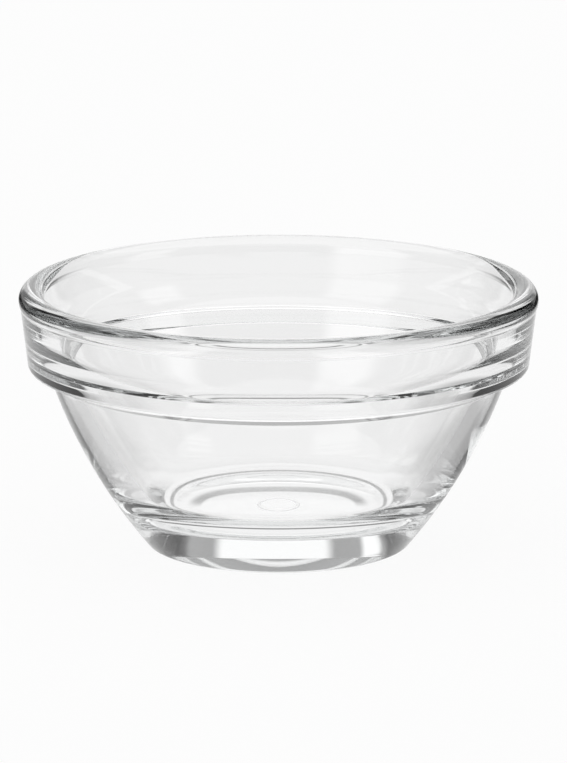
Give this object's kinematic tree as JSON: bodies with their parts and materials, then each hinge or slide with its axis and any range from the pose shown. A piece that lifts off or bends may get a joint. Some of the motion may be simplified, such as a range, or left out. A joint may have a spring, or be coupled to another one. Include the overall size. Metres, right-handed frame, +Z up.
{
  "type": "prep bowl",
  "caption": "Small round stacking prep bowl pressed in clear glass, with a rounded lip, a straight collar, a stepped shoulder and a thick base that is slightly hollow underneath.",
  "frame": {"origin": "on the table, in the middle of the ring that the bowl stands on", "axes": "+Z up along the bowl's axis, out of its mouth; X and Y may be turned freely about it"},
  "size_m": [0.06, 0.06, 0.0305],
  "materials": {
    "glass": "clear pressed soda-lime glass, fire-polished, smooth and bright all over"
  },
  "bodies": {
    "root": {"bowl": "glass"}
  },
  "joints": []
}
